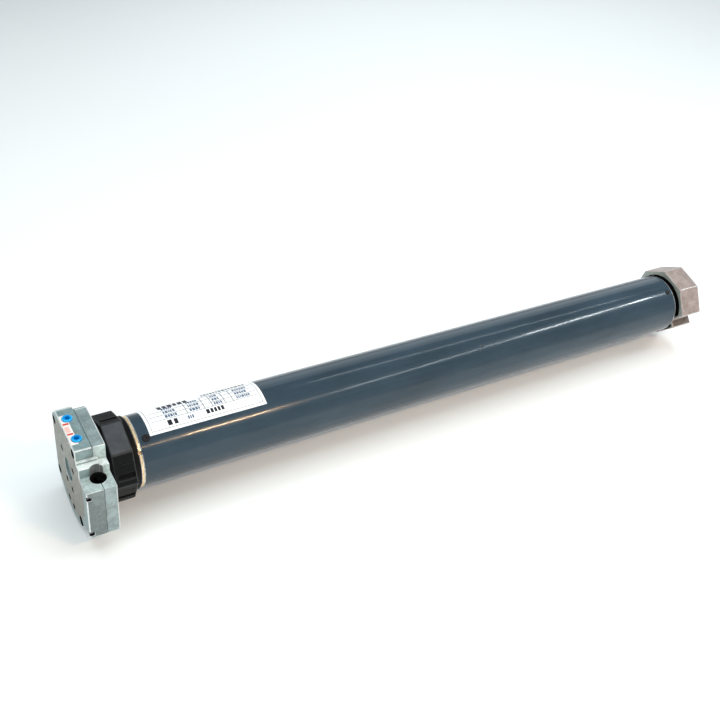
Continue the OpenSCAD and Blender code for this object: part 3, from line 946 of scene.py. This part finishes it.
def make_limit_sticker(look):
    """A film over the front edge, with plain coloured fields between the screws."""
    low, high = node_box("limit_sticker")
    top = low[2]
    film = block((low[0], low[1], top), (high[0], high[1], top + 0.14))
    for node in LIMIT_SCREWS:
        cut(film, post(*middle(node)[:2], 30, ABOVE_HEAD, LIMIT_SCREW_R + 0.4))
    smooth(paint(film, look["sticker"]))
    hand_over(film, "limit_sticker_film", "head", "sticker_film", "limit_sticker")
    spans = [(-5.6, -3.6, "sticker_red"), (-2.6, 4.6, "sticker_pink"), (6.4, 8.6, "sticker_red")]
    for number, (y0, y1, color) in enumerate(spans, 1):
        x1 = high[0] - (0.5 if color == "sticker_red" else 1.6)
        field = block((low[0] + 0.5, y0, top + 0.13), (x1, y1, top + 0.15))
        paint(field, look[color])
        hand_over(field, f"limit_sticker_field_{number}", "head", "sticker_film")


# ---- Crown, tube and drive wheel ----

def octagon(corners, turn=0.0):
    """(y, z) points of an octagon with a corner on +Z."""
    return circle(corners / 2, 8, turn=90 + turn)


def make_crown(look):
    """The octagonal ring behind the head, with slots and a rib on six of its flats."""
    crown = prism(octagon(CROWN_CORNERS), CROWN_X, CROWN_X + CROWN_LEN)
    add_slots(crown)
    round_edges(crown, 1.0, 3, wear_and_highlight=True)
    join(crown, rod(24.4, CROWN_X + 1, 31, sides=96))
    collar = rod(CROWN_X + CROWN_LEN - 1, CROWN_END, 30.5, sides=96)
    round_edges(collar, 0.6, 3)
    join(crown, collar)
    for flat in range(8):
        if flat in PLAIN_FLATS:
            continue
        turn = 45 * flat - 22.5
        for side, width in CROWN_SLOTS:
            tool = block((CROWN_X + 2.5, side, 31.4), (CROWN_X + CROWN_LEN - 1, side + width, 40))
            cut(crown, rotated(hollow(tool), turn))
        rib = block((CROWN_X + 2.2, -9.0, 33.0), (CROWN_X + CROWN_LEN - 0.9, -8.3, 33.95))
        join(crown, rotated(rib, turn))
    cut(crown, rod(20, 60, 24.05, sides=96))
    clean(crown)
    round_edges(crown, 0.25, 2, angle=50, wear_and_highlight=True)
    # The flats at 22.5 degrees from +Z towards -Y, and their opposites, take a lighter copy of the
    # plastic: painted sheen.
    for face in crown.data.polygons:
        turn = math.degrees(math.atan2(-face.normal.y, face.normal.z)) % 180
        radius = math.hypot(face.center.y, face.center.z) / MM
        if abs(turn - 22.5) < 1 and radius > 32 and face.material_index == BASE:
            face.material_index = CROWN_SHEEN
    smooth(paint(crown, look["crown"], look["crown_edge_highlight"], look["dark"], look["crown_painted_sheen"]))
    hand_over(crown, "crown_ring", "crown", "crown_plastic", "crown")


def make_retaining_ring(look):
    """A thin golden ring with a small notch, between the crown and the tube."""
    low, high = node_box("retaining_ring")
    r = TUBE_R + 0.25
    profile = [(low[0], 24.05), (high[0], 24.05), (high[0], r - 0.5), (high[0] - 0.5, r),
               (low[0] + 0.5, r), (low[0], r - 0.5)]
    ring = turned("ring", profile)
    notch = rotated(block((low[0] - 1, -1.4, r - 2), (high[0] + 1, 1.4, r + 2)), 52)
    cut(ring, notch)
    add_slots(clean(ring))
    round_edges(ring, 0.25, 2, wear_and_highlight=True)
    smooth(paint(ring, look["gold"], look["bare"]))
    hand_over(ring, "retaining_ring_gold", "motor", "golden_ring", "retaining_ring")


def make_tube(look):
    """A painted tube with bare, slightly rolled ends."""
    inner = TUBE_R - TUBE_WALL
    lip = 0.5
    profile = [(TUBE_X, inner), (TUBE_END, inner), (TUBE_END, TUBE_R - 2 * lip),
               (TUBE_END - lip, TUBE_R - lip), (TUBE_END - BARE_END, TUBE_R), (TUBE_X + lip, TUBE_R),
               (TUBE_X, TUBE_R - lip)]
    tube = turned("tube", profile, 192)
    for x in (middle("tube_screws_head")[0], middle("tube_screws_far")[0]):
        for angle in SCREW_ANGLES:
            cut(tube, rotated(post(x, 0, 20, 40, SCREW_HOLE_R, 24), angle))
    cut(tube, rotated(post(TUBE_HOLE[0], 0, 20, 40, TUBE_HOLE_R, 20), TUBE_HOLE[1]))
    add_slots(clean(tube, 0.4))
    for face in tube.data.polygons:
        _, y, z = face.center / MM
        bare = abs(face.normal.x) > 0.2 or math.hypot(y, z) < inner + 0.3
        face.material_index = EDGE if bare else BASE
    smooth(paint(tube, look["paint"], look["bare"]))
    hand_over(tube, "motor_tube_painted", "motor", "tube_paint", "motor_tube")


def make_tube_screws(node, head_r, look):
    """Low button-head screws, three around the tube."""
    x = middle(node)[0]
    for number, angle in enumerate(SCREW_ANGLES, 1):
        screw = post(x, 0, TUBE_R - 0.3, TUBE_R + 0.8, head_r, 40)
        add_slots(screw)
        round_edges(screw, 0.5, 4)
        join(screw, post(x, 0, TUBE_R - 5.5, TUBE_R + 0.2, 2.15, 24))
        cut(screw, post(x, 0, TUBE_R + 0.1, TUBE_R + 3, 1.4, 6))
        clean(screw)
        round_edges(screw, 0.12, 2, angle=50, wear_and_highlight=True)
        rotated(smooth(paint(screw, look["screw_black"], look["screw_edge_highlight"])), angle)
        nodes = [node] if number == 1 else []
        hand_over(screw, f"{node}_{number}", "motor", "dark_screw", *nodes)


def wheel_outline():
    """The octagon, one eighth turn on, with one corner cut back in a step."""
    corners = octagon(WHEEL_CORNERS, WHEEL_TURN + 45)
    left, right, foot = CUT_CORNER
    step = [(left, corners[2][1]), (left, foot), (right, foot)]
    return corners[:3] + step + corners[4:]


def make_drive_wheel(look):
    """A cast octagon: hub, web and rim, with one corner cut away down to a rib."""
    x0, x1 = WHEEL_LOW[0], WHEEL_HIGH[0]
    wheel = rotated(add_slots(prism(wheel_outline(), x0, x1)), -45)
    round_edges(wheel, 1.2, 4, wear_and_highlight=True)
    near = cut(rod(x0 - 1, x0 + NEAR_POCKET[0], NEAR_POCKET[1], sides=96), rod(x0 - 2, x0 + 12, HUB_R))
    far = cut(rod(x0 + FAR_POCKET[0], x1 + 8, FAR_POCKET[1], sides=96), rod(x0 + 12, x1 + 9, HUB_R))
    for pocket in (near, far):
        cut(pocket, rotated(block((x0 - 3, -45, -45), (x1 + 11, -8.5, -19.9)), -45))
    washer, shaft = rod(x1 - 3.5, x1 + 9, WASHER_R), rod(x0 - 3, x1 + 3, SHAFT_R)
    # The near pocket's faces take the dark material: painted shade in the gap by the tube.
    cut(wheel, hollow(near, WHEEL_POCKET_SHADE), far, washer, shaft)
    clean(wheel)
    round_edges(wheel, 0.5, 3, angle=50, wear_and_highlight=True)
    zone_wheel(wheel, x0)
    looks = ("wheel", "wheel_edge_highlight", "wheel_rim_reflection", "dark", "wheel_corner_shade")
    smooth(paint(wheel, *[look[key] for key in looks]))
    hand_over(wheel, "drive_wheel_casting", "output", "wheel_casting", "drive_wheel")


def zone_wheel(wheel, x0):
    """The face towards the tube takes a painted reflection, and the cut corner a darker copy of the
    casting, painted shade.
    """
    for face in wheel.data.polygons:
        x, y, z = face.center / MM
        across, up = (y - z) / math.sqrt(2), (y + z) / math.sqrt(2)
        # the face towards the tube: painted reflection
        if face.normal.x < -0.9 and x < x0 + 0.8:
            face.material_index = WHEEL_RIM_REFLECTION
        # the cut corner, which faces down: painted shade
        elif up < -21.9 and across < CUT_CORNER[0] + 0.2 and face.material_index == BASE:
            face.material_index = WHEEL_CORNER_SHADE


# ---- Label ----

def curved_patch(name, x0, x1, a0, a1, r0, r1):
    """A thin patch wrapped on the tube. Angles run from +Z towards -Y."""
    count = max(1, math.ceil(abs(a1 - a0) / 2))
    rings = []
    for x in (x0, x1):
        ring = []
        for r, order in ((r0, range(count + 1)), (r1, range(count, -1, -1))):
            for i in order:
                a = math.radians(a0 + (a1 - a0) * i / count)
                ring.append((x, -r * math.sin(a), r * math.cos(a)))
        rings.append(ring)
    count = len(rings[0])
    half = count // 2
    verts = rings[0] + rings[1]
    faces = []
    for i in range(count):
        j = (i + 1) % count
        faces.append([i, j, count + j, count + i])
    for i in range(half - 1):
        for base in (0, count):
            faces.append([base + i, base + i + 1, base + count - 2 - i, base + count - 1 - i])
    return solid(name, verts, faces)


def merge(name, pieces):
    """Several meshes as one object, without joining their surfaces."""
    shape = bmesh.new()
    for piece in pieces:
        shape.from_mesh(piece.data)
        discard(piece)
    mesh = bpy.data.meshes.new(name)
    shape.to_mesh(mesh)
    shape.free()
    return add_object(name, mesh)


class LabelPage:
    """Places print on the label. u runs along the tube and v down from its upper edge."""

    def __init__(self):
        self.x0, self.x1 = LABEL_LOW[0], LABEL_HIGH[0]
        self.length = self.x1 - self.x0
        self.top = LABEL_FROM - LABEL_ARC
        self.height = math.radians(LABEL_ARC) * TUBE_R

    def patch(self, u0, u1, v0, v1):
        a0 = self.top + math.degrees(v0 / TUBE_R)
        a1 = self.top + math.degrees(v1 / TUBE_R)
        return curved_patch("ink", self.x0 + u0, self.x0 + u1, a0, a1, TUBE_R + 0.115, TUBE_R + 0.15)

    def frame_lines(self, inset, width):
        far, low = self.length - inset, self.height - inset
        return [
            self.patch(inset, far, inset, inset + width),
            self.patch(inset, far, low - width, low),
            self.patch(inset, inset + width, inset, low),
            self.patch(far - width, far, inset, low)]

    def bars(self, u0, u1, v, height, rng, gap=0.9, shortest=1.2, longest=3.2):
        """A row of plain bars, which stands for a line of print."""
        made = []
        u = u0
        while u < u1 - shortest:
            width = min(rng.uniform(shortest, longest), u1 - u)
            made.append(self.patch(u, u + width, v, v + height))
            u += width + gap
        return made


def make_label(look):
    """A white film with a ruled table and rows of plain bars."""
    page = LabelPage()
    film = curved_patch("film", page.x0, page.x1, page.top, LABEL_FROM, TUBE_R + 0.01, TUBE_R + 0.12)
    smooth(paint(film, look["label"]), 60)
    hand_over(film, "rating_label_film", "motor", "label_film", "rating_label")
    rng = random.Random(7)
    low = page.height
    lines = page.frame_lines(2.4, 0.4)
    rows = [low - 26.5, low - 21.2, low - 16.0, low - 11.2]
    for v in rows[1:]:
        lines.append(page.patch(4, page.length - 4, v, v + 0.45))
    for u in (35, 50, 57, 68, 75):
        lines.append(page.patch(u, u + 0.6, rows[0], rows[3]))
    lines.append(page.patch(50, page.length - 4, rows[0], rows[0] + 0.6))
    bold = page.bars(15, 44, low - 30.5, 6.2, rng, 1.1, 2.8, 4.2)
    bold += page.bars(54, 94, low - 33, 4.2, rng, 0.9, 1.4, 2.8)
    bold += page.bars(17, 27, low - 9.4, 5.0, rng, 1.8, 3.0, 3.6)
    bold += page.bars(50, 66, low - 9.6, 4.2, rng, 0.9, 2.0, 3.0)
    fine = page.bars(34, 40, low - 8.6, 3.2, rng, 0.6, 0.9, 1.6)
    for v in (rows[0] + 1.4, rows[1] + 1.2, rows[2] + 1.0):
        for u0, u1 in ((17, 27), (38, 48), (59, 66), (79, 91)):
            fine += page.bars(u0, u1, v, 3.0, rng, 0.5, 0.9, 2.2)
    for name, parts, ink in (("lines", lines, "print_line"), ("bold", bold, "print"),
                             ("fine", fine, "print_blue")):
        piece = smooth(paint(merge(f"rating_label_{name}", parts), look[ink]), 60)
        hand_over(piece, f"rating_label_{name}", "motor", "label_film")


# ---- CAD nodes that stay ----

KEPT = {
    "inner_plastic": ["limit_unit_case", "limit_switch_up", "limit_switch_down", "capacitor_cradle"],
    "white_plastic": ["capacitor"],
    "rubber": ["cable_grommet"],
    "steel": ["head_bearing", "motor_bearings", "output_bearing", "rotor_shaft", "brake_spring",
              "brake_armature", "carrier_1", "carrier_2", "output_carrier", "wheel_washer"],
    "hard_steel": ["ring_gear", "sun_gear_1", "sun_gear_2", "sun_gear_3"]
                  + [f"planet_{stage}{place}" for stage in "123" for place in "abc"],
    "bronze": ["limit_pinion", "worm_wheel", "slip_ring"],
    "inner_cast": ["tube_adapter", "rear_end_bell", "front_end_bell", "end_flange"],
    "copper": ["brake_coil", "stator_winding"],
    "sheets": ["stator_core", "rotor_core"],
    "lining": ["brush_block", "brake_disc"],
    "black_steel": ["wheel_screw"],
    "blackened": ["crank_worm"],
}


def dress_kept_nodes(look):
    """Procedural materials on the CAD nodes that stay as they are."""
    for material, nodes in KEPT.items():
        for node in nodes:
            piece = frame["nodes"][node]
            for slot in piece.material_slots:
                slot.link = "OBJECT"
                slot.material = look[material]
            if not piece.material_slots:
                piece.data.materials.append(look[material])


# ---- Stage ----

def make_floor():
    """A pale floor just below the object."""
    color = (0.93, 0.93, 0.93)
    made = Shader("floor", color, 0.9)
    made.color(made.tone(made.noise(400, 2), color, (0.3, 0.99), (0.7, 1.0)))
    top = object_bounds()[0][2] / MM - 2
    floor = block((-4000, -4000, top - 20), (5000, 4000, top))
    floor.name = "floor"
    floor.data.materials.append(made.material)


def light_panel(name, size, power, color, matrix):
    """A rectangular light that the camera doesn't see."""
    data = bpy.data.lights.new(name, "AREA")
    data.shape = "RECTANGLE"
    data.size, data.size_y = size
    data.energy = power
    data.color = color
    light = add_object(name, data)
    light.matrix_world = matrix
    light.visible_camera = False
    return light


def area_light(name, place, target, size, power, color):
    """A soft light that leaves no mirror image."""
    aim = (Vector(target) - Vector(place)).to_track_quat("-Z", "Y").to_matrix().to_4x4()
    light = light_panel(name, size, power, color, Matrix.Translation(place) @ aim)
    light.visible_glossy = False


def strip_light(name, start, end, width, power, color, distance=1.0):
    """A strip facing the tube, between two (x, degrees). Its mirror image is a line."""
    start, end = [on_arc(x, distance, degrees) for x, degrees in (start, end)]
    along = (end - start).normalized()
    center = (start + end) / 2
    away = (center - Vector((center.x, 0, 0))).normalized()
    across = away.cross(along).normalized()
    back = along.cross(across).normalized()
    if back.dot(away) < 0:
        across, back = -across, -back
    turn = Matrix((along, across, back)).transposed().to_4x4()
    size = ((end - start).length, width)
    light_panel(name, size, power, color, Matrix.Translation(center) @ turn)


def on_arc(x, distance, degrees):
    """A point at that distance from the drive axis, from -Y up towards +Z."""
    a = math.radians(degrees)
    return Vector((x, -distance * math.cos(a), distance * math.sin(a)))


def make_lights():
    """Three soft lights, and strips whose mirror images are the lines along the tube."""
    center = (0.3, 0, 0)
    area_light("top", (0.3, 0.1, 1.5), center, (1.8, 1.4), 20, (0.88, 1.0, 1.02))
    area_light("front", (-1.3, -0.5, 0.7), (0, 0, 0), (0.9, 0.9), 8, (1.0, 0.97, 0.92))
    area_light("side", (0.2, -1.4, 0.9), center, (1.6, 0.7), 6, (0.97, 0.99, 1.0))
    cool, warm, amber = (0.88, 0.96, 1.0), (1.0, 0.62, 0.30), (1.0, 0.74, 0.46)
    strip_light("line_far", (0.66, 49), (1.55, 71), 0.009, 2.0, cool)
    strip_light("line_end", (1.15, 62.6), (1.55, 71.5), 0.018, 3.0, cool)
    strip_light("line_faint", (0.62, 107), (1.45, 97), 0.012, 0.9, cool)
    strip_light("line_near", (0.27, 47), (0.57, 50), 0.009, 0.7, warm)
    strip_light("line_core", (0.36, 47.8), (0.52, 49), 0.020, 2.2, amber)
    strip_light("sky_band", (0.5, 150), (2.2, 150), 0.8, 4.0, cool, 1.3)


def make_sky():
    """White near the horizon, greyer above."""
    world = bpy.data.worlds.new("world")
    bpy.context.scene.world = world
    world.use_nodes = True
    tree = world.node_tree
    sky = tree.nodes["Background"]
    coordinate = tree.nodes.new("ShaderNodeTexCoord")
    split = tree.nodes.new("ShaderNodeSeparateXYZ")
    fade = tree.nodes.new("ShaderNodeValToRGB")
    tree.links.new(coordinate.outputs["Generated"], split.inputs["Vector"])
    tree.links.new(split.outputs["Z"], fade.inputs["Fac"])
    tree.links.new(fade.outputs["Color"], sky.inputs["Color"])
    stops = ((0.05, (1.0, 1.0, 1.0, 1)), (0.55, (0.30, 0.33, 0.36, 1)))
    for element, (position, color) in zip(fade.color_ramp.elements, stops):
        element.position, element.color = position, color
    sky.inputs["Strength"].default_value = 0.6


# ---- Everything ----

def build():
    make_camera()
    look = make_materials()
    make_head_cover(look)
    make_head_base(look)
    make_cover_screws(look)
    make_crank_bush(look)
    make_limit_sticker(look)
    for node in LIMIT_SCREWS:
        make_limit_screw(node, look)
    make_crown(look)
    make_retaining_ring(look)
    make_tube(look)
    make_tube_screws("tube_screws_head", 3.2, look)
    make_tube_screws("tube_screws_far", 2.65, look)
    make_label(look)
    make_drive_wheel(look)
    dress_kept_nodes(look)
    make_floor()
    make_lights()
    make_sky()
    bpy.context.scene.view_settings.view_transform = "Standard"


build()
